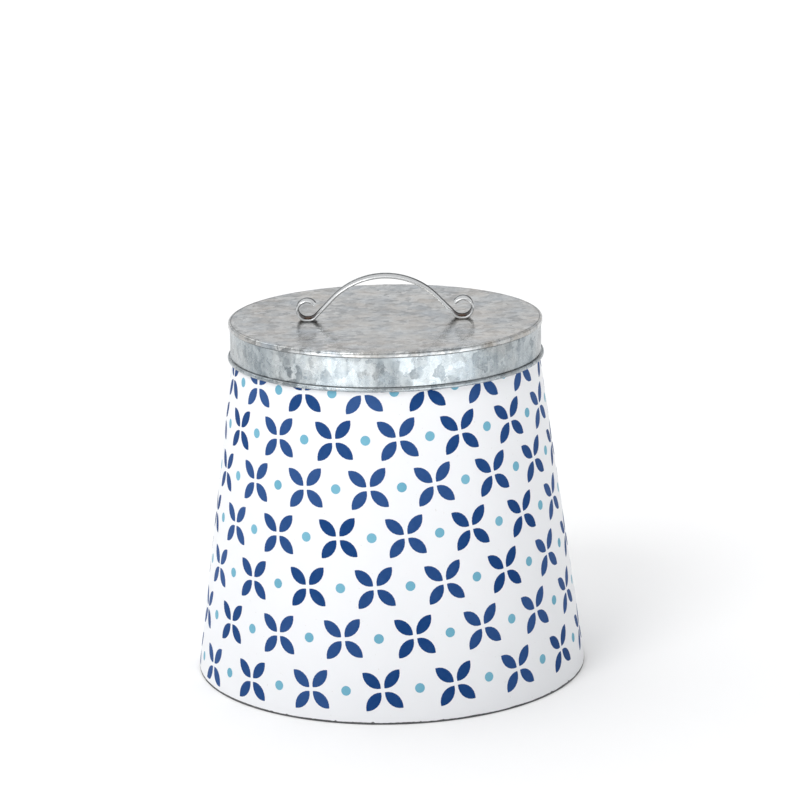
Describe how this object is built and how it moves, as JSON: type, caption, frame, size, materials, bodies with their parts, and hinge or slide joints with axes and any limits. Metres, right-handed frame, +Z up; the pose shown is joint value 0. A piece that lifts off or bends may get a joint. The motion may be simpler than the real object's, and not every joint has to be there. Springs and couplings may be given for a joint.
{
  "type": "metal canister with lid",
  "caption": "Tapered round metal canister with a lift-off lid, rolled edges and an arched strap handle with scrolled ends.",
  "frame": {"origin": "centre of the base ring, on the surface the canister stands on", "axes": "+Z up; the handle runs along X; the seams are at the back, +Y"},
  "size_m": [0.241, 0.241, 0.2461],
  "materials": {
    "white_enamel": "white enamel with a blue printed pattern outside, bare zinc inside",
    "galvanised_steel": "galvanised",
    "steel_wire": "plain drawn wire",
    "bright_zinc": "bright zinc plate",
    "rivet_steel": "heat-tinted, slightly rusty"
  },
  "bodies": {
    "canister": {"body_wall": "white_enamel", "mouth_wire": "steel_wire", "base_disc": "galvanised_steel"},
    "lid": {"lid_top": "galvanised_steel", "lid_skirt": "galvanised_steel", "lid_wire": "steel_wire", "handle_strap": "bright_zinc", "handle_rivet_left": "rivet_steel", "handle_rivet_right": "rivet_steel"}
  },
  "joints": [
    {"name": "lid_lift", "type": "slide", "parent": "canister", "child": "lid", "axis": [0, 0, 1], "range_m": [0, 0.12]}
  ]
}
